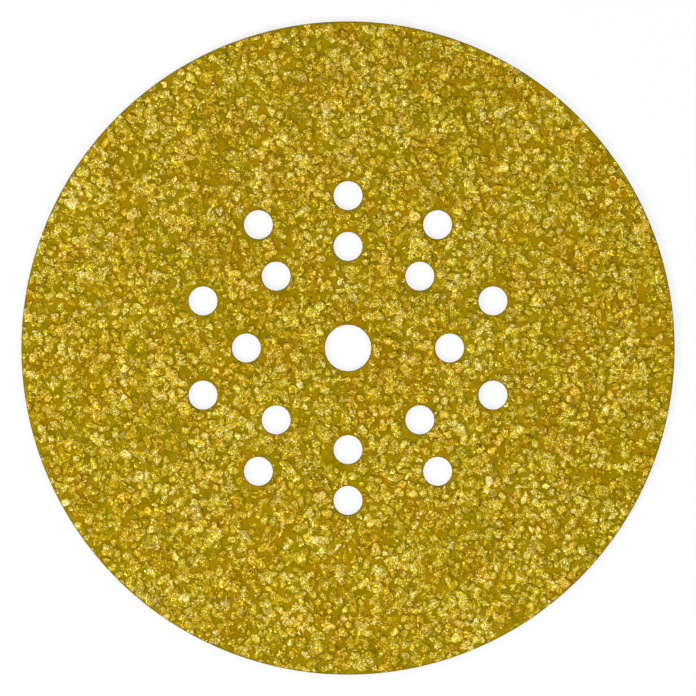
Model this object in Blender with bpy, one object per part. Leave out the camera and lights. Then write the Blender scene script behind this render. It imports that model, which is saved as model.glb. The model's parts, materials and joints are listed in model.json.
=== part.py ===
"""Hook and loop sanding disc, 225 mm across, with nineteen holes for dust extraction.

The disc is a laminate of three layers, cut together by one die. From the bottom up they
are the loop fabric that grips the hooks of the sander's pad, the backing paper, and the
coat of resin and abrasive grit. The disc lies on its loops with the grit facing up.
The origin is the centre of the loop face, +Z is up, and the unit is the metre.
"""

import math
import random

import bmesh
import bpy
from mathutils import Matrix

# The die that cuts the disc
DISC_DIAMETER = 0.225
CENTRE_HOLE_DIAMETER = 0.016
DUST_HOLE_DIAMETER = 0.010
INNER_RING_RADIUS = 0.035
INNER_RING_HOLES = 8
RING_SPACING = 0.0175  # from the inner ring of dust holes to the outer one
OUTER_RING_HOLES = 10

# The layers, from the bottom up
LOOP_THICKNESS = 0.0012
PAPER_THICKNESS = 0.00045
GLUE_LINE = 0.00005  # between one layer and the next
RESIN_THICKNESS = 0.00035  # at the lowest place between the grains
GRAIN_HEIGHT = 0.00135  # of the tallest grain above that place

# The grit, whose facets are about as wide as its coarse grains and the gaps between them
FACET_WIDTH = 0.0044
SCATTER = 0.28  # of a facet's width: how far a corner strays from its even place, at most
SHORTEST_GRAIN = 0.4  # of the tallest
RESIN_SHARE = 0.33  # of the corners, which lie down in the resin
GRIT_SEED = 19

# Straight sides that stand for each round edge
RIM_SIDES = 96
CENTRE_HOLE_SIDES = 24
DUST_HOLE_SIDES = 20

# Red, green and blue in linear light
GRIT_COLOUR = (0.445, 0.315, 0.026)
PAPER_COLOUR = (0.46, 0.33, 0.10)
LOOP_COLOUR = (0.78, 0.77, 0.72)

PAPER_BASE = LOOP_THICKNESS + GLUE_LINE
COAT_BASE = PAPER_BASE + PAPER_THICKNESS + GLUE_LINE
RESIN_LEVEL = COAT_BASE + RESIN_THICKNESS
COAT_TOP = RESIN_LEVEL + GRAIN_HEIGHT
OUTER_RING_RADIUS = INNER_RING_RADIUS + RING_SPACING
ROW_HEIGHT = FACET_WIDTH * math.sin(math.radians(60))
WELD = 1e-6


def clear_scene():
    for obj in list(bpy.data.objects):
        bpy.data.objects.remove(obj, do_unlink=True)


def new_collection(name):
    collection = bpy.data.collections.new(name)
    bpy.context.scene.collection.children.link(collection)
    return collection


def make_material(name, colour, roughness):
    material = bpy.data.materials.new(name)
    material.use_nodes = True
    shader = material.node_tree.nodes["Principled BSDF"]
    shader.inputs["Base Color"].default_value = (*colour, 1.0)
    shader.inputs["Roughness"].default_value = roughness
    shader.inputs["Metallic"].default_value = 0.0
    return material


def ring_centres(radius, count):
    """The hole centres of one ring, evenly spaced, with the first towards +Y."""
    for step in range(count):
        angle = math.radians(90) + step * math.tau / count
        yield radius * math.cos(angle), radius * math.sin(angle)


def add_circle(curve, centre, diameter, sides):
    """Adds one round edge to the outline of the die."""
    spline = curve.splines.new("POLY")
    spline.points.add(sides - 1)
    for step, point in enumerate(spline.points):
        angle = step * math.tau / sides
        x = centre[0] + diameter / 2 * math.cos(angle)
        y = centre[1] + diameter / 2 * math.sin(angle)
        point.co = (x, y, 0.0, 1.0)
    spline.use_cyclic_u = True


def die_cut_sheet(name, base, top, collection):
    """A flat sheet in the outline of the die, from the height base to the height top."""
    curve = bpy.data.curves.new(name, "CURVE")
    curve.dimensions = "2D"
    curve.fill_mode = "BOTH"
    curve.extrude = (top - base) / 2
    add_circle(curve, (0, 0), DISC_DIAMETER, RIM_SIDES)
    add_circle(curve, (0, 0), CENTRE_HOLE_DIAMETER, CENTRE_HOLE_SIDES)
    for radius, count in (
        (INNER_RING_RADIUS, INNER_RING_HOLES),
        (OUTER_RING_RADIUS, OUTER_RING_HOLES),
    ):
        for centre in ring_centres(radius, count):
            add_circle(curve, centre, DUST_HOLE_DIAMETER, DUST_HOLE_SIDES)
    sheet = bpy.data.objects.new(name, curve)
    sheet.location.z = (base + top) / 2
    collection.objects.link(sheet)
    return sheet


def as_mesh(curve_object, collection):
    """Replaces a curve object by a closed mesh object of the same name and place."""
    name = curve_object.name
    bpy.context.view_layer.update()
    graph = bpy.context.evaluated_depsgraph_get()
    mesh = bpy.data.meshes.new_from_object(curve_object.evaluated_get(graph))
    place = curve_object.matrix_world.copy()
    bpy.data.objects.remove(curve_object)
    bm = bmesh.new()
    bm.from_mesh(mesh)
    bmesh.ops.remove_doubles(bm, verts=bm.verts, dist=WELD)
    bmesh.ops.recalc_face_normals(bm, faces=bm.faces)
    bm.to_mesh(mesh)
    bm.free()
    made = bpy.data.objects.new(name, mesh)
    made.matrix_world = place
    collection.objects.link(made)
    return made


def lay_rows_of_triangles(bm):
    """Fills a square larger than the disc with even triangles, in rows along X."""
    cells = 2 * math.ceil(DISC_DIAMETER / 2 / ROW_HEIGHT + 2)
    squash = Matrix.Diagonal((1, ROW_HEIGHT / FACET_WIDTH, 1, 1))
    bmesh.ops.create_grid(
        bm, x_segments=cells, y_segments=cells, size=cells * FACET_WIDTH / 2, matrix=squash
    )
    for corner in bm.verts:
        if round(corner.co.y / ROW_HEIGHT) % 2:
            corner.co.x += FACET_WIDTH / 2
    bmesh.ops.triangulate(bm, faces=bm.faces, quad_method="SHORT_EDGE")


def raise_grains(bm):
    """Moves each corner off its even place and makes it the tip of a grain, or a low spot of resin."""
    dice = random.Random(GRIT_SEED)
    stray = SCATTER * FACET_WIDTH
    for corner in bm.verts:
        corner.co.x += dice.uniform(-stray, stray)
        corner.co.y += dice.uniform(-stray, stray)
        tip = dice.uniform(SHORTEST_GRAIN, 1)
        if dice.random() < RESIN_SHARE:
            tip = 0
        corner.co.z = RESIN_LEVEL + tip * GRAIN_HEIGHT


def trim_to_disc(bm):
    """Leaves just enough of the relief for the die to cut through all the way round."""
    reach = DISC_DIAMETER / 2 + 2 * FACET_WIDTH
    outside = [corner for corner in bm.verts if corner.co.xy.length > reach]
    bmesh.ops.delete(bm, geom=outside, context="VERTS")


def close_underside(bm):
    """Drops the rim of the open relief to the base of the coat and fills it flat."""
    rim = [edge for edge in bm.edges if edge.is_boundary]
    dropped = bmesh.ops.extrude_edge_only(bm, edges=rim)["geom"]
    for item in dropped:
        if isinstance(item, bmesh.types.BMVert):
            item.co.z = COAT_BASE
    low_rim = [item for item in dropped if isinstance(item, bmesh.types.BMEdge)]
    bmesh.ops.contextual_create(bm, geom=low_rim)
    bmesh.ops.recalc_face_normals(bm, faces=bm.faces)


def uncut_coat(collection):
    """The resin and its grains as one closed relief, a little larger than the disc."""
    bm = bmesh.new()
    lay_rows_of_triangles(bm)
    raise_grains(bm)
    trim_to_disc(bm)
    close_underside(bm)
    mesh = bpy.data.meshes.new("grit_coat")
    bm.to_mesh(mesh)
    bm.free()
    coat = bpy.data.objects.new("grit_coat", mesh)
    collection.objects.link(coat)
    return coat


def cut_with_die(coat, cutters):
    """Keeps what lies inside a die that reaches well past both faces of the coat."""
    past = COAT_TOP - COAT_BASE
    die = as_mesh(die_cut_sheet("die", COAT_BASE - past, COAT_TOP + past, cutters), cutters)
    die.hide_render = True
    die.display_type = "WIRE"
    cut = coat.modifiers.new("die cut", "BOOLEAN")
    cut.operation = "INTERSECT"
    cut.solver = "EXACT"
    cut.object = die


def build_disc():
    clear_scene()
    layers = new_collection("hook_and_loop_sanding_disc")
    cutters = new_collection("cutters")

    loops = die_cut_sheet("loop_backing", 0, LOOP_THICKNESS, layers)
    loops.data.materials.append(make_material("loop fabric", LOOP_COLOUR, 0.95))

    paper = die_cut_sheet("backing_paper", PAPER_BASE, PAPER_BASE + PAPER_THICKNESS, layers)
    paper.data.materials.append(make_material("backing paper", PAPER_COLOUR, 0.8))

    coat = uncut_coat(layers)
    coat.data.materials.append(make_material("grit in resin", GRIT_COLOUR, 0.35))
    cut_with_die(coat, cutters)


build_disc()
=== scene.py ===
"""The looks of a hook and loop sanding disc, seen from straight above with its grit facing up.

The grit coat becomes a bed of glossy resin with several thousand craggy grains in it. The
backing becomes a knitted ground with a pile of loops. Everything is cut off at the rim and
at the dust holes, as the die does it. The unit is the metre.
"""

import json
import math

import bmesh
import bpy
import numpy as np
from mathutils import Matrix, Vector, noise
from mathutils.bvhtree import BVHTree
from mathutils.geometry import delaunay_2d_cdt


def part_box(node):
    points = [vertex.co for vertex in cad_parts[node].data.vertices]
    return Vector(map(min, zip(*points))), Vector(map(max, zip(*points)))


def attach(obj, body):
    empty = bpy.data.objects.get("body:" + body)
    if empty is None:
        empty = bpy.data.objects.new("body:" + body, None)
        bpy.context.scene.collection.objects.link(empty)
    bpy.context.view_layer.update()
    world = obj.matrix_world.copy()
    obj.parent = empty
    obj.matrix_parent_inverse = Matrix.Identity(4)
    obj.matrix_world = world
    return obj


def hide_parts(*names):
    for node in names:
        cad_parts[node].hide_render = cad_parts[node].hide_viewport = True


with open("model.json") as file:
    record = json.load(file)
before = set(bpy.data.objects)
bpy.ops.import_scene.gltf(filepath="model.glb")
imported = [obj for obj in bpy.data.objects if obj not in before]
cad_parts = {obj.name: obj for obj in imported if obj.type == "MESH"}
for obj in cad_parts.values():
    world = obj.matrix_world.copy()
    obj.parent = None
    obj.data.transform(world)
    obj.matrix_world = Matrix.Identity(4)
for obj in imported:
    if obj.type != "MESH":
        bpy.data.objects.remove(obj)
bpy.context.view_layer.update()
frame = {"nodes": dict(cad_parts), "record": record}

SEED = 7
TINY = 1e-9

# The die, whose holes' places come from the frame
COAT_LOW, COAT_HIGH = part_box("grit_coat")
LOOP_LOW, LOOP_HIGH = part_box("loop_backing")
RIM_RADIUS = (COAT_HIGH.x - COAT_LOW.x) / 2
CENTRE_HOLE_RADIUS = 0.008
DUST_HOLE_RADIUS = 0.005
CUT_POINT_SPACING = 0.0007  # along the rim and round the holes
CLEAR_OF_CUT = 0.4  # of their spacing: points nearer to the cut would make slivers

# The resin bed
RESIN_LEVEL = COAT_LOW.z + 0.00035
RIM_SAGITTA = 0.0001  # the solid's straight sides lie inside the round rim by less than this
PROBE_HEIGHT = 0.001  # above the coat, where each look down at the solid's relief starts
RESIN_SWELL = 0.0001  # how far the bed rises and falls by itself
SWELL_WIDTH = 0.005
BED_RISE = 0.3  # the share of the solid's relief that the resin climbs under the grains
BED_POINT_SPACING = 0.001
BED_POINT_STRAY = 0.3  # of the spacing
BED_CREASE = math.radians(50)  # an edge sharper than this isn't smoothed

# The grains
GRAIN_SPACING = 0.0029
GRAIN_STRAY = 0.3  # of the spacing
GAP_DEPTH = 0.0  # a grain lies in a gap where relief and gap noise add up to less than this
GAP_NOISE = 0.0006
GAP_WIDTH = 0.004
DROWNED_DEPTH = 0.0003  # how much lower than the others a grain in a gap lies
GRAIN_RADII = (0.0017, 0.0029)
RADIUS_SKEW = 1.3  # above 1, small grains are more common than large ones
GRAIN_TOP = 0.75  # of its radius: how high above its centre a grain's top is
GRAIN_PROUD = (0.0002, 0.0006)  # how far its top stands above the solid's relief
BODY_CORNERS = (10, 15)
BODY_STRETCH = (0.85, 1.2)  # along each axis
KNOBS_PER_GRAIN = 7
KNOB_CORNERS = (6, 10)
KNOB_CLIMB = (math.radians(5), math.radians(80))
KNOB_REACH = (0.4, 0.7)  # of the grain's radius
KNOB_SHARE = (0.3, 0.55)  # of the grain's radius
KNOB_TOP = 0.7  # of its size: how high above its centre a knob's top is
KNOB_OWN_TONE = 0.2  # the share of its paleness that it doesn't have from its grain
CHIP_COUNT = 5000
CHIP_RADII = (0.00025, 0.0005)
CHIP_CORNERS = (7, 10)
SMALL_STRETCH = (0.7, 1.25)  # of knobs and chips along each axis
CORNER_REACH = (0.8, 1.15)  # how far a shape's corners are from its middle
CENTRE_INSIDE = 0.0001  # how far inside the die's cut each crystal's centre is at least
GRAIN_FOOT = 0.0001  # how far above the coat's underside the lowest crystals end
REACH_INTO_HOLE = 0.0002  # of a crystal before it is cut, and more would show as a straight chord
SHAPES_OF_EACH = 60
GRAIN_PIECES = 5
PATCHES = ((0.008, 0.45), (0.025, 0.3))  # (width, strength) of paler and darker patches of grains
PALE_SHARE = 0.06  # of the grains, which are much paler than the others
PALE_LIFT = 0.5

# The grains that aren't golden: (from, to, tint, veil), as shares of all grains
ODD_GRAINS = (
    (0.0, 0.25, (0.97, 1.01, 0.8), (0, 0, 0)),
    (0.25, 0.30, (0.95, 0.95, 0.95), (0.03, 0.026, 0.04)),
    (0.90, 1.0, (1.03, 0.91, 0.6), (0, 0, 0)),
)

# The looks of the coat
CRYSTAL_FACETS = ((0.001, 0.8), (0.00042, 0.9))  # (width, tilt), too small for the mesh
CRYSTAL_LIFT = 0.9
LEAST_LIFT = 0.8  # of the lift, which is left where a facet leans down
GRAIN_TONE_SHARE = 0.4
FLAKES_AND_SPARKLE = ((0.0009, 0.25), (0.0004, 0.18))  # (width, share) of flakes with their own tone, whose palest ones, at the top of the crystal ramp, are painted sparkle
# Painted highlight lines on the crystals: thin bright lines that stand in for glints, with painted shade
# beside them
GLINT_LINE_WIDTH = 0.0015  # from one winding of a painted highlight line to the next
GLINT_LINE_THICKNESS = 0.04  # of the noise's range
GLINT_SHADE_DARKNESS = 0.3  # how dark the painted shade beside a painted highlight line is
GLINT_LINE_SHARE = 0.9
SIDE_BOUNCE_COLOUR = (1, 0.97, 0.3)  # painted bounce light: times the crystal's own colour, on its sides
BOUNCE_SLOPES = (0.3, 0.8)  # the normal's Z on a side and on a top
THROUGH_LIGHT_COLOUR = (0.48, 0.34, 0.002)  # painted light: near the resin, a colour that stands in for light coming through a clear grain
THROUGH_LIGHT_HEIGHTS = (0.0002, 0.0008)  # above the bed, from the painted through-light to the crystal's own colour
FOOT_HEIGHTS = (0.0001, 0.0003)  # above the bed, from resin to the painted through-light near the grain's root
WARM_COLOUR = (1.02, 0.87, 0.6)  # times the coat's own
WARM_WIDTH = 0.009
CUT_LINE_WIDTH = 0.0005  # of the dark line along the die's cut
CUT_LINE_SHARE = 0.75
CUT_LINE_COLOUR = (0.12, 0.085, 0.0)

# The loop fabric
GROUND_FACE = LOOP_LOW.z + 0.0006  # where the knitted ground ends and its pile begins
GROUND_CREASE = math.radians(60)  # an edge sharper than this isn't smoothed
RIB_PITCH = 0.0016
RIB_DEPTH = 0.00015
RIB_POINT_SPACING = (0.0004, 0.0025)  # across the ribs and along them
PILE_SPACING = 0.0032  # from loop to loop along a rib
PILE_STRAY = (0.3, 0.5)  # of the pitch across the ribs, and of the spacing along them
LOOP_SPANS = (0.0013, 0.0024)
LOOP_DROPS = (0.8, 1.1)  # of the way from the ground to the floor
LOOP_TURN = (math.radians(90), 0.6)  # mean and spread of where a loop points in plan
LOOP_LEAN = 0.0003  # spread of how far its lowest point is off its plane
LOOP_START = math.radians(-15)
LOOP_ARC = math.radians(210)  # from one root to the other
LOOP_ROOT = 0.0003  # how far at most a loop goes up into the ground
LOOP_RINGS = 6
LOOP_SIDES = 3
YARN_RADIUS = 0.00014

# The photograph's frame
FRAME_WIDTH = 0.23965
CAMERA_HEIGHT = 5  # above the disc
FLOOR_WIDTH = 40  # wide enough to fill the frame from any side
FLOOR_DROP = 0.0001  # below the disc
FLOOR_GLOW = 0.75  # the share of its look that is plain white


# The die's cut


def die_holes():
    """(centre, radius) of each hole, at the middle of the opening that the record gives it."""
    holes = []
    for opening in frame["record"]["physics"]["openings"]:
        low, high = opening["box_m"]
        centre = ((low[0] + high[0]) / 2, (low[1] + high[1]) / 2)
        at_centre = math.hypot(*centre) < DUST_HOLE_RADIUS
        holes.append((centre, CENTRE_HOLE_RADIUS if at_centre else DUST_HOLE_RADIUS))
    return holes


HOLES = die_holes()


def beside_holes(points):
    """How far from the nearest hole each point lies, in plan. Less than 0 is in a hole."""
    beside = np.full(len(points), np.inf)
    for centre, radius in HOLES:
        from_hole = np.hypot(points[:, 0] - centre[0], points[:, 1] - centre[1]) - radius
        beside = np.minimum(beside, from_hole)
    return beside


def inside_cut(points):
    """How far inside the die's cut each point lies, in plan. Less than 0 has been cut away."""
    return np.minimum(RIM_RADIUS - np.hypot(points[:, 0], points[:, 1]), beside_holes(points))


def cut_with_die(points):
    """Moves the points that lie past the rim or in a hole to the nearest place on the cut."""
    reach = np.hypot(points[:, 0], points[:, 1])
    points[:, :2] *= np.minimum(1, RIM_RADIUS / np.maximum(reach, TINY))[:, None]
    for centre, radius in HOLES:
        arm = points[:, :2] - centre
        reach = np.maximum(np.hypot(arm[:, 0], arm[:, 1]), TINY)
        past = reach < radius
        points[past, :2] = centre + arm[past] * (radius / reach[past])[:, None]


def outline_points(centre, radius, turn):
    """A round edge as a closed row of points, counter-clockwise for a turn of 1."""
    count = round(math.tau * radius / CUT_POINT_SPACING)
    angles = turn * np.arange(count) * math.tau / count
    return np.stack([centre[0] + radius * np.cos(angles), centre[1] + radius * np.sin(angles)], 1)


def fill_cut(inner):
    """(points, triangles, edges) of a flat sheet in the die's outline, with inner as points in it.

    The outline's points come first. Its edges run with the sheet on their left.
    """
    outlines = [outline_points((0, 0), RIM_RADIUS, 1)]
    outlines += [outline_points(centre, radius, -1) for centre, radius in HOLES]
    edges = []
    first = 0
    for outline in outlines:
        step = np.arange(len(outline))
        edges.append(first + np.stack([step, (step + 1) % len(outline)], 1))
        first += len(outline)
    edges = np.concatenate(edges)
    flat = np.concatenate([*outlines, inner])
    convex_hull = 0
    made = delaunay_2d_cdt([Vector(p) for p in flat], edges.tolist(), [], convex_hull, TINY)
    flat = np.array(made[0])
    triangles = np.array(made[2])
    a, b, c = (flat[triangles[:, corner]] for corner in range(3))
    turn = (b[:, 0] - a[:, 0]) * (c[:, 1] - a[:, 1]) - (b[:, 1] - a[:, 1]) * (c[:, 0] - a[:, 0])
    triangles[turn < 0] = triangles[turn < 0][:, ::-1]
    triangles = triangles[(inside_cut((a + b + c) / 3) > 0) & (turn != 0)]
    return flat, triangles, edges


def even_points(across, along):
    """Even places all over the disc and a little past it: (places, the row that each is in)."""
    columns = np.arange(-int(RIM_RADIUS / across) - 2, int(RIM_RADIUS / across) + 3)
    rows = np.arange(-int(RIM_RADIUS / along) - 2, int(RIM_RADIUS / along) + 3)
    column, row = (number.ravel() for number in np.meshgrid(columns, rows))
    return np.stack([column * across, row * along], 1), row


def scattered_points(spacing, stray, dice):
    """Places all over the disc, in rows that wander a little."""
    points, _ = even_points(spacing, spacing)
    points = points + dice.uniform(-stray, stray, points.shape) * spacing
    return points[inside_cut(points) > spacing * CLEAR_OF_CUT]


def die_cut_slab(name, inner, shaped_height, plain_height):
    """A closed sheet in the die's outline, with one shaped face through inner and one plain face."""
    flat, triangles, edges = fill_cut(inner)
    plain_flat, plain_triangles, _ = fill_cut(np.empty((0, 2)))
    shaped = np.column_stack([flat, shaped_height(flat)])
    plain = np.column_stack([plain_flat, np.full(len(plain_flat), plain_height)])
    low = edges + len(flat)
    walls = [
        np.column_stack([edges[:, 0], low[:, 0], low[:, 1]]),
        np.column_stack([edges[:, 0], low[:, 1], edges[:, 1]]),
    ]
    faces = np.concatenate([triangles, *walls, plain_triangles[:, ::-1] + len(flat)])
    if shaped[0, 2] < plain_height:
        faces = faces[:, ::-1]
    return new_mesh_object(name, np.concatenate([shaped, plain]), faces)


# Meshes


def new_mesh_object(name, points, faces):
    """An object of triangles."""
    mesh = bpy.data.meshes.new(name)
    mesh.vertices.add(len(points))
    mesh.vertices.foreach_set("co", points.astype(np.float32).ravel())
    mesh.loops.add(faces.size)
    mesh.loops.foreach_set("vertex_index", faces.astype(np.int32).ravel())
    mesh.polygons.add(len(faces))
    mesh.polygons.foreach_set("loop_start", np.arange(0, faces.size, 3, dtype=np.int32))
    mesh.update(calc_edges=True)
    made = bpy.data.objects.new(name, mesh)
    bpy.context.scene.collection.objects.link(made)
    set_attribute(made, "inside_cut", inside_cut(points))
    return made


def set_attribute(piece, name, values):
    attribute = piece.data.attributes.new(name, "FLOAT", "POINT")
    attribute.data.foreach_set("value", np.asarray(values, np.float32))


# The grains


def hull_of(points):
    """(corners, triangles) of the convex hull."""
    bm = bmesh.new()
    for point in points:
        bm.verts.new(point)
    bmesh.ops.convex_hull(bm, input=bm.verts)
    inner = [corner for corner in bm.verts if not corner.link_faces]
    bmesh.ops.delete(bm, geom=inner, context="VERTS")
    bmesh.ops.triangulate(bm, faces=bm.faces)
    bm.verts.index_update()
    corners = np.array([corner.co for corner in bm.verts])
    triangles = np.array([[corner.index for corner in face.verts] for face in bm.faces])
    bm.free()
    return corners, triangles


def crystal_shape(dice, corner_range):
    """(corners, triangles) of an angular crystal of about unit radius."""
    points = dice.normal(size=(int(dice.integers(*corner_range)), 3))
    points /= np.linalg.norm(points, axis=1)[:, None]
    points *= dice.uniform(*CORNER_REACH, (len(points), 1))
    return hull_of(points)


def noise_over(places, width, layer):
    """Smooth noise, from about -0.7 to 0.7, with features about width across. Each layer differs."""
    height = layer * 10.5
    return np.array([noise.noise((x / width, y / width, height)) for x, y in places])


def relief_tree():
    """The solid's coat, in a form that can be probed."""
    coat = frame["nodes"]["grit_coat"].data
    corners = [corner.co for corner in coat.vertices]
    return BVHTree.FromPolygons(corners, [tuple(face.vertices) for face in coat.polygons])


RELIEF = relief_tree()


def relief_over(places):
    """How high the solid's relief stands above the resin over each place.

    Places outside the solid's straight sides take the height just inside them, and places over a
    hole take the resin's.
    """
    reach = np.hypot(places[:, 0], places[:, 1])
    covered = places * np.minimum(1, (RIM_RADIUS - RIM_SAGITTA) / np.maximum(reach, TINY))[:, None]
    start = COAT_HIGH.z + PROBE_HEIGHT
    down = Vector((0, 0, -1))
    hits = [RELIEF.ray_cast(Vector((x, y, start)), down)[0] for x, y in covered]
    return np.array([hit.z if hit else RESIN_LEVEL for hit in hits]) - RESIN_LEVEL


def bed_height(flat):
    """The height of the resin over points in plan: it rises with the solid's relief, but less."""
    swell = RESIN_SWELL * noise_over(flat, SWELL_WIDTH, layer=5)
    return RESIN_LEVEL + swell + BED_RISE * relief_over(flat)


def lay_grains(dice):
    """The grains as arrays: centre, radius, paleness and kind. Those in a gap lie low in the resin."""
    flat, row = even_points(GRAIN_SPACING, GRAIN_SPACING * math.sin(math.radians(60)))
    flat[:, 0] += (row % 2) * GRAIN_SPACING / 2
    flat += dice.uniform(-GRAIN_STRAY, GRAIN_STRAY, flat.shape) * GRAIN_SPACING
    flat = flat[inside_cut(flat) > 0]
    relief = relief_over(flat)
    smallest, largest = GRAIN_RADII
    radius = smallest + (largest - smallest) * dice.random(len(flat)) ** RADIUS_SKEW
    drowned = relief + GAP_NOISE * noise_over(flat, GAP_WIDTH, layer=0) < GAP_DEPTH
    relief = relief + dice.uniform(*GRAIN_PROUD, len(flat)) - np.where(drowned, DROWNED_DEPTH, 0)
    top = np.minimum(RESIN_LEVEL + relief, COAT_HIGH.z)
    paleness = dice.random(len(flat)) + PALE_LIFT * (dice.random(len(flat)) < PALE_SHARE)
    for layer, (width, strength) in enumerate(PATCHES, 1):
        paleness += strength * noise_over(flat, width, layer)
    return np.column_stack([flat, top - GRAIN_TOP * radius]), radius, paleness, dice.random(len(flat))


def lay_bodies(dice, grains):
    """The body of each grain, as arrays: place, size along each axis, paleness and kind."""
    centre, radius, paleness, kind = grains
    return [centre, radius[:, None] * dice.uniform(*BODY_STRETCH, centre.shape), paleness, kind]


def lay_knobs(dice, grains):
    """The crystals that stick out of the grains, as such arrays too."""
    centre, radius, paleness, kind = grains
    owner = np.repeat(np.arange(len(centre)), KNOBS_PER_GRAIN)
    count = len(owner)
    climb = dice.uniform(*KNOB_CLIMB, count)
    turn = dice.uniform(0, math.tau, count)
    arm = np.stack([np.cos(turn) * np.cos(climb), np.sin(turn) * np.cos(climb), np.sin(climb)], 1)
    reach = radius[owner] * dice.uniform(*KNOB_REACH, count)
    size = (radius[owner] * dice.uniform(*KNOB_SHARE, count))[:, None]
    size = size * dice.uniform(*SMALL_STRETCH, (count, 3))
    place = centre[owner] + arm * reach[:, None]
    place[:, 2] = np.minimum(place[:, 2], COAT_HIGH.z - KNOB_TOP * size.mean(1))
    tone = (1 - KNOB_OWN_TONE) * paleness[owner] + KNOB_OWN_TONE * dice.random(count)
    return [place, size, tone, kind[owner]]


def lay_chips(dice):
    """Small crystals all over the coat, as such arrays too."""
    spot = dice.uniform(-RIM_RADIUS, RIM_RADIUS, (CHIP_COUNT, 2))
    size = dice.uniform(*CHIP_RADII, CHIP_COUNT)[:, None] * dice.uniform(*SMALL_STRETCH, (CHIP_COUNT, 3))
    height = RESIN_LEVEL + relief_over(spot) * dice.uniform(BED_RISE, 1, CHIP_COUNT)
    return [np.column_stack([spot, height]), size, dice.random(CHIP_COUNT), dice.random(CHIP_COUNT)]


def turns_of(dice, count):
    """That many rotation matrices, evenly spread over all turns."""
    q = dice.normal(size=(count, 4))
    q /= np.linalg.norm(q, axis=1)[:, None]
    w, x, y, z = q.T
    return np.stack(
        [
            np.stack([1 - 2 * (y * y + z * z), 2 * (x * y - w * z), 2 * (x * z + w * y)], 1),
            np.stack([2 * (x * y + w * z), 1 - 2 * (x * x + z * z), 2 * (y * z - w * x)], 1),
            np.stack([2 * (x * z - w * y), 2 * (y * z + w * x), 1 - 2 * (x * x + y * y)], 1),
        ],
        1,
    )


def place_shapes(dice, shapes, laid, sector):
    """(points, faces, paleness, kind) of what is laid in each sector of the disc."""
    place, size, paleness, kind = laid
    turn = turns_of(dice, len(place))
    shape_of = dice.integers(0, len(shapes), len(place))
    made = []
    for number in range(GRAIN_PIECES):
        lots = []
        first = 0
        for shape, (corners, triangles) in enumerate(shapes):
            chosen = np.flatnonzero((shape_of == shape) & (sector == number))
            scaled = corners[None] * size[chosen][:, None]
            turned = np.einsum("nij,nkj->nki", turn[chosen], scaled) + place[chosen][:, None]
            starts = first + np.arange(len(chosen)) * len(corners)
            points = turned.reshape(-1, 3)
            faces = (triangles[None] + starts[:, None, None]).reshape(-1, 3)
            pales = np.repeat(paleness[chosen], len(corners))
            kinds = np.repeat(kind[chosen], len(corners))
            lots.append((points, faces, pales, kinds))
            first += len(points)
        made.append([np.concatenate(parts) for parts in zip(*lots)])
    return made


def sector_of(place):
    """Which piece a crystal belongs to: each piece is one sector of the disc."""
    turn = np.arctan2(place[:, 1], place[:, 0]) / math.tau + 0.5
    return np.minimum((turn * GRAIN_PIECES).astype(int), GRAIN_PIECES - 1)


def make_grains(dice, grains):
    """All bodies, knobs and chips, as one piece for each sector, cut off by the die."""
    lots = []
    for laid, corner_range in (
        (lay_bodies(dice, grains), BODY_CORNERS),
        (lay_knobs(dice, grains), KNOB_CORNERS),
        (lay_chips(dice), CHIP_CORNERS),
    ):
        inside = inside_cut(laid[0]) > CENTRE_INSIDE
        laid = [values[inside] for values in laid]
        laid[1] = np.minimum(laid[1], beside_holes(laid[0])[:, None] + REACH_INTO_HOLE)
        shapes = [crystal_shape(dice, corner_range) for _ in range(SHAPES_OF_EACH)]
        lots.append(place_shapes(dice, shapes, laid, sector_of(laid[0])))
    made = []
    for number, parts in enumerate(zip(*lots)):
        points = np.concatenate([part[0] for part in parts])
        points[:, 2] = np.clip(points[:, 2], COAT_LOW.z + GRAIN_FOOT, COAT_HIGH.z)
        cut_with_die(points)
        starts = np.cumsum([0] + [len(part[0]) for part in parts])
        faces = np.concatenate([part[1] + start for part, start in zip(parts, starts)])
        piece = new_mesh_object(f"grains_{number + 1}", points, faces)
        set_attribute(piece, "paleness", np.concatenate([part[2] for part in parts]))
        set_attribute(piece, "kind", np.concatenate([part[3] for part in parts]))
        set_attribute(piece, "above_bed", points[:, 2] - bed_height(points[:, :2]))
        made.append(piece)
    return made


def make_resin_bed(dice):
    inner = scattered_points(BED_POINT_SPACING, BED_POINT_STRAY, dice)
    bed = die_cut_slab("resin_bed", inner, bed_height, COAT_LOW.z)
    bed.data.shade_smooth()
    bed.data.set_sharp_from_angle(angle=BED_CREASE)
    return bed


# The loop fabric


def rib_height(flat):
    """The knitted face over points in plan: ribs along Y, each with a groove on either side."""
    wave = np.cos(flat[:, 0] / RIB_PITCH * math.tau)
    return GROUND_FACE + RIB_DEPTH * wave


def make_loop_ground():
    inner, _ = even_points(*RIB_POINT_SPACING)
    inner = inner[inside_cut(inner) > RIB_POINT_SPACING[0] * CLEAR_OF_CUT]
    ground = die_cut_slab("loop_ground", inner, rib_height, LOOP_HIGH.z)
    ground.data.shade_smooth()
    ground.data.set_sharp_from_angle(angle=GROUND_CREASE)
    return ground


def lay_loops(dice):
    """Where the pile's loops hang from the ribs."""
    roots, _ = even_points(RIB_PITCH, PILE_SPACING)
    stray = np.multiply(PILE_STRAY, (RIB_PITCH, PILE_SPACING))
    roots += dice.uniform(-stray, stray, roots.shape)
    return roots[inside_cut(roots) > 2 * YARN_RADIUS]


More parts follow.
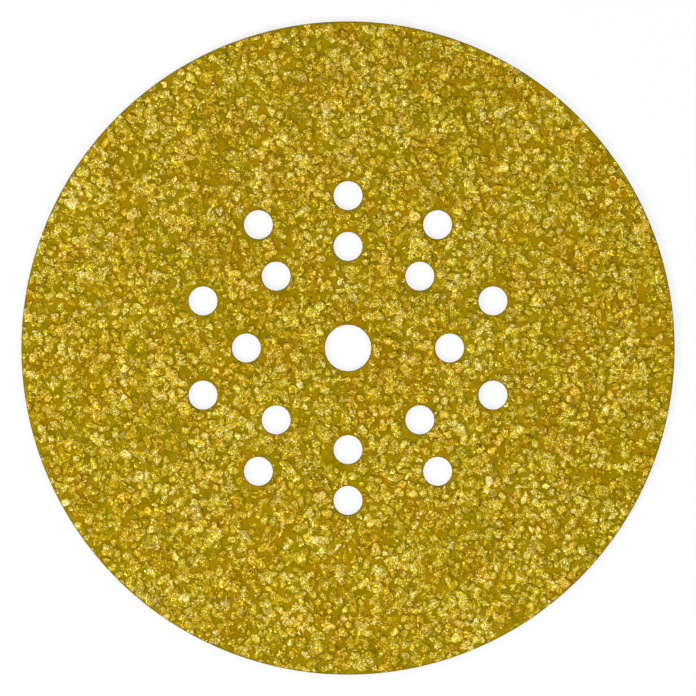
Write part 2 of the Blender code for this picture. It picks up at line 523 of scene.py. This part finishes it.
def loop_points(dice, roots):
    """The points of each loop, in rings of LOOP_SIDES along an arch that hangs down and leans."""
    count = len(roots)
    turn = dice.normal(*LOOP_TURN, count)
    span = dice.uniform(*LOOP_SPANS, count)
    drop = (GROUND_FACE - LOOP_LOW.z) * dice.uniform(*LOOP_DROPS, count)
    lean = dice.normal(0, LOOP_LEAN, count)
    along = np.stack([np.cos(turn), np.sin(turn), np.zeros(count)], 1)
    aside = np.stack([-np.sin(turn), np.cos(turn), np.zeros(count)], 1)
    down = np.array([0, 0, -1])
    points = []
    for ring in range(LOOP_RINGS):
        angle = LOOP_START + LOOP_ARC * ring / (LOOP_RINGS - 1)
        c = math.cos(angle)
        s = math.sin(angle)
        middle = along * (span / 2 * c)[:, None] + aside * (lean * s)[:, None]
        middle += down * (drop * s)[:, None]
        outward = along * c + down * s
        for side in range(LOOP_SIDES):
            a = side * math.tau / LOOP_SIDES
            points.append(middle + YARN_RADIUS * (math.cos(a) * outward + math.sin(a) * aside))
    points = np.stack(points, 1)
    points[:, :, :2] += roots[:, None]
    points[:, :, 2] += GROUND_FACE
    return points


def loop_faces():
    """The triangles of one loop: a tube along its rings, closed at both ends."""
    faces = []
    for ring in range(LOOP_RINGS - 1):
        for side in range(LOOP_SIDES):
            a = ring * LOOP_SIDES + side
            b = ring * LOOP_SIDES + (side + 1) % LOOP_SIDES
            faces += [(a, a + LOOP_SIDES, b), (b, a + LOOP_SIDES, b + LOOP_SIDES)]
    last = (LOOP_RINGS - 1) * LOOP_SIDES
    for side in range(1, LOOP_SIDES - 1):
        faces += [(0, side, side + 1), (last, last + side + 1, last + side)]
    return np.array(faces)


def make_pile(dice):
    """The loops on the left and on the right of the disc's middle, as two pieces."""
    roots = lay_loops(dice)
    points = loop_points(dice, roots)
    made = []
    for name, chosen in (("loop_pile_1", roots[:, 0] < 0), ("loop_pile_2", roots[:, 0] >= 0)):
        own = points[chosen].reshape(-1, 3)
        own[:, 2] = np.clip(own[:, 2], LOOP_LOW.z, GROUND_FACE + LOOP_ROOT)
        cut_with_die(own)
        starts = np.arange(chosen.sum()) * LOOP_RINGS * LOOP_SIDES
        faces = loop_faces() + starts[:, None, None]
        piece = new_mesh_object(name, own, faces.reshape(-1, 3))
        piece.data.shade_smooth()
        made.append(piece)
    return made


# Materials


def new_material(name, roughness):
    """(material, its node tree, its shader)"""
    material = bpy.data.materials.new(name)
    material.use_nodes = True
    tree = material.node_tree
    shader = tree.nodes["Principled BSDF"]
    shader.inputs["Roughness"].default_value = roughness
    return material, tree, shader


def feed(tree, socket, value):
    """Gives an input a socket, a colour or a number."""
    if isinstance(value, bpy.types.NodeSocket):
        tree.links.new(value, socket)
    elif isinstance(value, tuple) and len(socket.default_value) == 4:
        socket.default_value = (*value, 1)
    else:
        socket.default_value = value


def add_ramp(tree, value, stops):
    """A colour ramp driven by a socket, with stops of (position, colour)."""
    ramp = tree.nodes.new("ShaderNodeValToRGB")
    elements = ramp.color_ramp.elements
    while len(elements) < len(stops):
        elements.new(0.5)
    for element, (position, colour) in zip(elements, stops):
        element.position = position
        element.color = (*colour, 1)
    tree.links.new(value, ramp.inputs["Fac"])
    return ramp.outputs["Color"]


def add_place(tree):
    return tree.nodes.new("ShaderNodeTexCoord").outputs["Object"]


def add_noise(tree, width, detail=2, squeeze=(1, 1, 1)):
    """A noise in the object's own space, with features about width across, or less where squeezed."""
    texture = tree.nodes.new("ShaderNodeTexNoise")
    texture.inputs["Scale"].default_value = 1 / width
    texture.inputs["Detail"].default_value = detail
    tree.links.new(add_vector_math(tree, "MULTIPLY", add_place(tree), squeeze), texture.inputs["Vector"])
    return texture.outputs["Fac"]


def add_cells(tree, width):
    """Cells about width across, each with a colour of its own."""
    texture = tree.nodes.new("ShaderNodeTexVoronoi")
    texture.inputs["Scale"].default_value = 1 / width
    tree.links.new(add_place(tree), texture.inputs["Vector"])
    return texture.outputs["Color"]


def add_channel(tree, colour, name):
    split = tree.nodes.new("ShaderNodeSeparateXYZ")
    tree.links.new(colour, split.inputs["Vector"])
    return split.outputs[name]


def add_attribute(tree, name):
    attribute = tree.nodes.new("ShaderNodeAttribute")
    attribute.attribute_name = name
    return attribute.outputs["Fac"]


def add_range(tree, value, low, high, to_low=0.0, to_high=1.0):
    node = tree.nodes.new("ShaderNodeMapRange")
    node.inputs["From Min"].default_value = low
    node.inputs["From Max"].default_value = high
    node.inputs["To Min"].default_value = to_low
    node.inputs["To Max"].default_value = to_high
    tree.links.new(value, node.inputs["Value"])
    return node.outputs["Result"]


def add_mix(tree, factor, a, b):
    """Mixes two colours."""
    node = tree.nodes.new("ShaderNodeMix")
    node.data_type = "RGBA"
    for socket, value in ((node.inputs["Factor"], factor), (node.inputs[6], a), (node.inputs[7], b)):
        feed(tree, socket, value)
    return node.outputs[2]


def add_math(tree, operation, a, b):
    node = tree.nodes.new("ShaderNodeMath")
    node.operation = operation
    feed(tree, node.inputs[0], a)
    feed(tree, node.inputs[1], b)
    return node.outputs[0]


def add_vector_math(tree, operation, a, b):
    node = tree.nodes.new("ShaderNodeVectorMath")
    node.operation = operation
    feed(tree, node.inputs[0], a)
    feed(tree, node.inputs["Scale" if operation == "SCALE" else 1], b)
    return node.outputs[0]


def add_bump(tree, height, depth):
    node = tree.nodes.new("ShaderNodeBump")
    node.inputs["Distance"].default_value = depth
    tree.links.new(height, node.inputs["Height"])
    return node.outputs["Normal"]


def add_facets(tree, sizes, lift):
    """A normal that leans another way in each small cell, like the facets of a broken crystal.

    The sizes are (width, tilt) of the cells, of one kind or more. The lift turns every normal
    upwards, because light from above also comes through the sides of a clear crystal.
    """
    normal = tree.nodes.new("ShaderNodeNewGeometry").outputs["Normal"]
    normal = add_vector_math(tree, "ADD", normal, (0, 0, lift))
    for width, tilt in sizes:
        lean = add_vector_math(tree, "SUBTRACT", add_cells(tree, width), (0.5, 0.5, 0.5))
        normal = add_vector_math(tree, "ADD", normal, add_vector_math(tree, "SCALE", lean, tilt))
    any_lean = -10
    normal = add_vector_math(tree, "MAXIMUM", normal, (any_lean, any_lean, LEAST_LIFT * lift))
    unit = tree.nodes.new("ShaderNodeVectorMath")
    unit.operation = "NORMALIZE"
    tree.links.new(normal, unit.inputs[0])
    return unit.outputs[0]


def add_glint_lines(tree, width, thickness, darkness):
    """Painted highlight lines: above 0 along thin lines that wind about, which stand in for glints,
    below 0 beside them as painted shade, and 0 elsewhere.
    """
    from_middle = add_math(tree, "SUBTRACT", add_noise(tree, width, detail=3), 0.5)
    away = add_math(tree, "ABSOLUTE", from_middle, 0)
    plain = (darkness, darkness, darkness)
    stops = [(0, (1, 1, 1)), (thickness, (0, 0, 0)), (2.5 * thickness, plain)]
    glint_line = add_channel(tree, add_ramp(tree, away, stops), "X")
    return add_math(tree, "SUBTRACT", glint_line, darkness)


def add_resin_colour(tree):
    """Olive to golden brown, in patches a few millimetres wide."""
    return add_ramp(
        tree,
        add_noise(tree, 0.0035, detail=3),
        [
            (0.34, (0.205, 0.152, 0.0)),
            (0.50, (0.275, 0.193, 0.001)),
            (0.62, (0.315, 0.200, 0.001)),
            (0.74, (0.35, 0.155, 0.001)),
        ],
    )


def warm_patches(tree, colour):
    """Turns the colour a little towards orange in patches about a centimetre wide."""
    warmth = add_range(tree, add_noise(tree, WARM_WIDTH, detail=3), 0.42, 0.66)
    warmer = add_vector_math(tree, "MULTIPLY", colour, WARM_COLOUR)
    return add_mix(tree, warmth, colour, warmer)


def darken_cut(tree, colour):
    """A thin dark line along the die's cut, darkest right at the cut."""
    inside = add_attribute(tree, "inside_cut")
    near = add_range(tree, inside, 0.0, CUT_LINE_WIDTH, to_low=CUT_LINE_SHARE, to_high=0.0)
    return add_mix(tree, near, colour, CUT_LINE_COLOUR)


def resin_material():
    material, tree, shader = new_material("golden resin", 0.28)
    colour = warm_patches(tree, add_resin_colour(tree))
    tree.links.new(darken_cut(tree, colour), shader.inputs["Base Color"])
    shader.inputs["Specular Tint"].default_value = (1, 0.8, 0.03, 1)
    bump = add_bump(tree, add_noise(tree, 0.0008), 0.00006)
    tree.links.new(bump, shader.inputs["Normal"])
    return material


def add_crystal_tone(tree):
    """From about 0 to 1: dark to pale, by grain, by crystal and by flake, with painted highlight lines
    and painted shade beside them.
    """
    tone = add_math(tree, "MULTIPLY", add_attribute(tree, "paleness"), GRAIN_TONE_SHARE)
    for width, share in FLAKES_AND_SPARKLE:
        flake = add_channel(tree, add_cells(tree, width), "X")
        tone = add_math(tree, "ADD", tone, add_math(tree, "MULTIPLY", flake, share))
    # Painted highlight lines, with painted shade beside them, added to the tone
    glint_lines = add_glint_lines(tree, GLINT_LINE_WIDTH, GLINT_LINE_THICKNESS, GLINT_SHADE_DARKNESS)
    return add_math(tree, "ADD", tone, add_math(tree, "MULTIPLY", glint_lines, GLINT_LINE_SHARE))


def tint_odd_grains(tree, colour):
    """Multiplies the colour of the grains that aren't golden by their tint and adds their veil."""
    kind = add_attribute(tree, "kind")
    for low, high, tint, veil in ODD_GRAINS:
        above = add_math(tree, "GREATER_THAN", kind, low - 0.001)
        below = add_math(tree, "LESS_THAN", kind, high)
        tinted = add_vector_math(tree, "ADD", add_vector_math(tree, "MULTIPLY", colour, tint), veil)
        colour = add_mix(tree, add_math(tree, "MULTIPLY", above, below), colour, tinted)
    return colour


def paint_bounce_on_sides(tree, colour):
    """Painted bounce light: takes blue out of the crystals' sides, by the slope of their faces, to stand
    in for golden light that fills their shade.
    """
    upward = add_channel(tree, tree.nodes.new("ShaderNodeNewGeometry").outputs["Normal"], "Z")
    bounce_tinted = add_vector_math(tree, "MULTIPLY", colour, SIDE_BOUNCE_COLOUR)
    return add_mix(tree, add_range(tree, upward, *BOUNCE_SLOPES), bounce_tinted, colour)


def crystal_material():
    material, tree, shader = new_material("abrasive crystal", 0.14)
    crystal = add_ramp(
        tree,
        add_crystal_tone(tree),
        [
            (0.08, (0.225, 0.127, 0.000)),
            (0.28, (0.335, 0.218, 0.001)),
            (0.46, (0.43, 0.295, 0.002)),
            (0.62, (0.56, 0.403, 0.004)),
            # The palest stops are painted sparkle: near-white flecks that stand in for glints
            (0.78, (0.90, 0.68, 0.03)),
            (0.92, (1.00, 0.97, 0.68)),
        ],
    )
    # Painted bounce light on the crystals' sides
    crystal = paint_bounce_on_sides(tree, tint_odd_grains(tree, crystal))
    above_bed = add_attribute(tree, "above_bed")
    # Painted light: near the resin the grain takes a colour that stands in for light coming through it
    colour = add_mix(tree, add_range(tree, above_bed, *THROUGH_LIGHT_HEIGHTS), THROUGH_LIGHT_COLOUR, crystal)
    colour = add_mix(tree, add_range(tree, above_bed, *FOOT_HEIGHTS), add_resin_colour(tree), colour)
    colour = warm_patches(tree, colour)
    tree.links.new(darken_cut(tree, colour), shader.inputs["Base Color"])
    shader.inputs["IOR"].default_value = 1.9
    shader.inputs["Specular Tint"].default_value = (1, 0.88, 0.06, 1)
    tree.links.new(add_facets(tree, CRYSTAL_FACETS, CRYSTAL_LIFT), shader.inputs["Normal"])
    return material


def paper_material():
    """Heavy paper, soaked with resin, whose cut edge shows its layers."""
    material, tree, shader = new_material("backing paper", 0.75)
    layers = add_noise(tree, 0.003, squeeze=(1, 1, 30))
    fibres = add_noise(tree, 0.0004, detail=4)
    tone = add_math(tree, "MULTIPLY", add_math(tree, "ADD", layers, fibres), 0.5)
    colour = add_ramp(tree, tone, [(0.38, (0.30, 0.20, 0.05)), (0.62, (0.56, 0.42, 0.15))])
    tree.links.new(colour, shader.inputs["Base Color"])
    tree.links.new(add_bump(tree, tone, 0.0001), shader.inputs["Normal"])
    return material


def fabric_material(name, low, high):
    """Brushed polyester, mottled from low to high, with a soft sheen."""
    material, tree, shader = new_material(name, 0.92)
    fluff = add_noise(tree, 0.0005, detail=5, squeeze=(1, 0.4, 1))
    cloud = add_noise(tree, 0.009, detail=3)
    tone = add_mix(tree, 0.35, fluff, cloud)
    tree.links.new(add_ramp(tree, tone, [(0.36, low), (0.62, high)]), shader.inputs["Base Color"])
    shader.inputs["Sheen Weight"].default_value = 0.3
    shader.inputs["Sheen Roughness"].default_value = 0.5
    tree.links.new(add_bump(tree, fluff, 0.00015), shader.inputs["Normal"])
    return material


# The stage


def make_floor():
    """A floor that takes the disc's shadow, and that looks white to the camera and in reflections."""
    bpy.ops.mesh.primitive_plane_add(size=FLOOR_WIDTH, location=(0, 0, -FLOOR_DROP))
    floor = bpy.context.object
    floor.name = "floor"
    material, tree, shader = new_material("white floor", 0.8)
    shader.inputs["Base Color"].default_value = (0.85, 0.85, 0.85, 1)
    shader.inputs["Specular IOR Level"].default_value = 0.0
    glow = tree.nodes.new("ShaderNodeEmission")
    rays = tree.nodes.new("ShaderNodeLightPath")
    seen = add_math(tree, "MAXIMUM", rays.outputs["Is Camera Ray"], rays.outputs["Is Glossy Ray"])
    seen = add_math(tree, "MAXIMUM", seen, rays.outputs["Is Transmission Ray"])
    share = add_math(tree, "MULTIPLY", seen, FLOOR_GLOW)
    mix = tree.nodes.new("ShaderNodeMixShader")
    tree.links.new(share, mix.inputs["Fac"])
    tree.links.new(shader.outputs["BSDF"], mix.inputs[1])
    tree.links.new(glow.outputs["Emission"], mix.inputs[2])
    tree.links.new(mix.outputs["Shader"], tree.nodes["Material Output"].inputs["Surface"])
    floor.data.materials.append(material)


def add_lamp(azimuth, elevation, power, size):
    """A square softbox that faces the disc from a metre away. Azimuth 0 is towards +X."""
    lamp = bpy.data.lights.new("softbox", "AREA")
    lamp.energy = power
    lamp.size = size
    holder = bpy.data.objects.new("softbox", lamp)
    a = math.radians(azimuth)
    e = math.radians(elevation)
    away = Vector((math.cos(a) * math.cos(e), math.sin(a) * math.cos(e), math.sin(e)))
    holder.location = away
    holder.rotation_euler = away.to_track_quat("Z", "Y").to_euler()
    bpy.context.scene.collection.objects.link(holder)


def make_lights():
    """Even white surroundings, one main softbox and a ring of small ones for the sparkle."""
    world = bpy.data.worlds.new("studio")
    world.use_nodes = True
    background = world.node_tree.nodes["Background"]
    background.inputs["Color"].default_value = (1, 1, 1, 1)
    background.inputs["Strength"].default_value = 0.3
    bpy.context.scene.world = world
    add_lamp(225, 50, power=3.6, size=0.16)
    for azimuth in (20, 80, 140, 185, 270, 320):
        add_lamp(azimuth, 55, power=1.25, size=0.1)


def make_camera():
    """A camera with a long lens, so far up that it looks straight down everywhere on the disc."""
    camera = bpy.data.cameras.new("camera")
    camera.lens = camera.sensor_width * CAMERA_HEIGHT / FRAME_WIDTH
    holder = bpy.data.objects.new("camera", camera)
    holder.location = (0, 0, COAT_HIGH.z + CAMERA_HEIGHT)
    bpy.context.scene.collection.objects.link(holder)
    bpy.context.scene.camera = holder


def dress(piece, material, node):
    """Gives a piece its material, hangs it on the root body and hides the solid that it stands in for.
    """
    piece.data.materials.append(material)
    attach(piece, "root")
    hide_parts(node)


def build_coat():
    dice = np.random.default_rng(SEED)
    grains = lay_grains(dice)
    dress(make_resin_bed(dice), resin_material(), "grit_coat")
    crystal = crystal_material()
    for piece in make_grains(dice, grains):
        dress(piece, crystal, "grit_coat")


def dress_paper():
    paper = frame["nodes"]["backing_paper"]
    paper.material_slots[0].material = paper_material()


def build_loop_fabric():
    dice = np.random.default_rng(SEED)
    ground = make_loop_ground()
    knit = fabric_material("knitted ground", (0.55, 0.53, 0.47), (0.80, 0.79, 0.74))
    dress(ground, knit, "loop_backing")
    pile = make_pile(dice)
    yarn = fabric_material("loop yarn", (0.68, 0.67, 0.61), (0.86, 0.85, 0.80))
    for piece in pile:
        dress(piece, yarn, "loop_backing")


bpy.context.scene.view_settings.view_transform = "Standard"
make_camera()
make_lights()
make_floor()
build_coat()
dress_paper()
build_loop_fabric()
